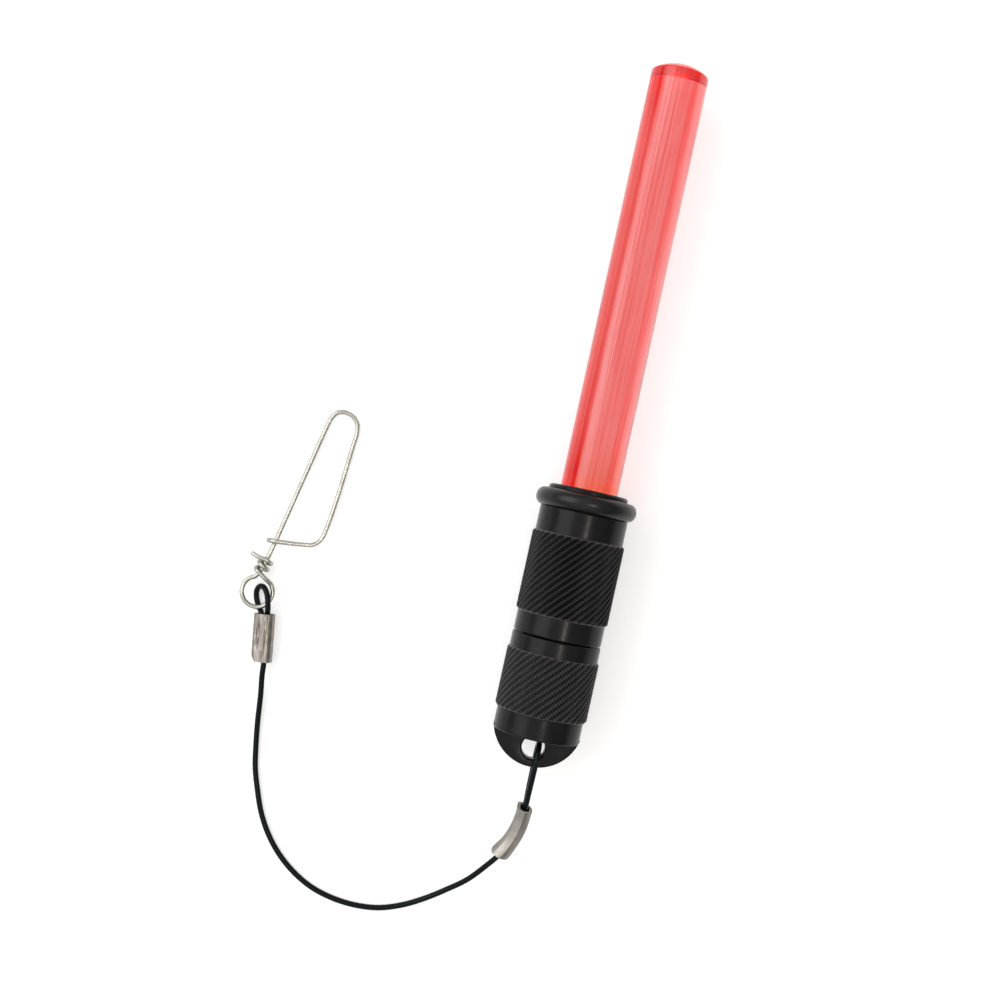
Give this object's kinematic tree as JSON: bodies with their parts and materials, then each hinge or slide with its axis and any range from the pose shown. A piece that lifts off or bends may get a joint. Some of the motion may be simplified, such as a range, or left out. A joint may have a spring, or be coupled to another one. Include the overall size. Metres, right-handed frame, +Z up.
{
  "type": "diver light stick",
  "caption": "Red acrylic light rod in a knurled black battery housing with a screw tail cap, bumper O-ring, crimped steel-cable lanyard and bent-wire clip.",
  "frame": {"origin": "middle of the stick's outline seen from above, on the plane that it lies on", "axes": "+Y along the stick from the drilled lug to the rod's domed tip, +X to the right seen from above with the tip up, +Z up"},
  "size_m": [0.0781, 0.1877, 0.0211],
  "materials": {
    "red_acrylic": "clear red cast acrylic, polished",
    "black_anodised": "satin black anodised aluminium, turned and knurled",
    "black_rubber": "satin black nitrile rubber",
    "led_lens": "clear red epoxy lens",
    "white_plastic": "white moulded plastic",
    "board_green": "green solder mask",
    "resistor_black": "black ceramic chip",
    "gold_contact": "gold-plated brass",
    "cell_steel": "nickel-plated steel can",
    "sleeve_film": "blue heat-shrink film",
    "spring_steel": "bright stainless spring wire",
    "cable_coating": "black nylon coating over steel strand",
    "crimp_aluminium": "dull swaged aluminium",
    "stainless_wire": "bright drawn stainless wire"
  },
  "bodies": {
    "cap": {"tail_cap": "black_anodised", "cap_seal_o_ring": "black_rubber", "spring_seat": "gold_contact", "contact_spring": "spring_steel"},
    "battery_stack": {"button_cell_1": "cell_steel", "button_cell_2": "cell_steel", "button_cell_3": "cell_steel", "button_cell_4": "cell_steel", "cell_sleeve": "sleeve_film"},
    "head": {"head_shell": "black_anodised", "light_rod": "red_acrylic", "rod_retainer": "black_anodised", "bumper_o_ring": "black_rubber", "rod_seal_o_ring": "black_rubber", "led_emitter": "led_lens", "led_holder": "white_plastic", "led_board": "board_green", "led_resistor": "resistor_black", "board_contact": "gold_contact"},
    "lanyard": {"lanyard_cable": "cable_coating", "lug_crimp_sleeve": "crimp_aluminium", "clip_crimp_sleeve": "crimp_aluminium"},
    "clip": {"clip_frame": "stainless_wire"},
    "gate": {"clip_gate": "stainless_wire"}
  },
  "joints": [
    {"name": "head_travel", "type": "slide", "parent": "cap", "child": "battery_stack", "axis": [0, 1, 0], "range_m": [0, 0.006]},
    {"name": "head_turn", "type": "hinge", "parent": "battery_stack", "child": "head", "pos_m": [0, -0.047, 0.01055], "axis": [0, 1, 0], "range_deg": [0, 2160]},
    {"name": "lanyard_swing", "type": "hinge", "parent": "cap", "child": "lanyard", "pos_m": [0, -0.07, 0.01055], "axis": [0, 0, 1], "range_deg": [-30, 60]},
    {"name": "clip_swing", "type": "hinge", "parent": "lanyard", "child": "clip", "pos_m": [-0.06395, -0.0518, 0.002], "axis": [0, 0, -1], "range_deg": [-60, 60]},
    {"name": "gate_squeeze", "type": "hinge", "parent": "clip", "child": "gate", "pos_m": [-0.0541, -0.0104, 0.0005], "axis": [0, 0, -1], "range_deg": [0, 4.5], "stiffness_Nm_per_rad": 0.05}
  ],
  "couplings": [
    {"joint": "head_turn", "follows": "head_travel", "rad_per_m": 6283.2}
  ]
}
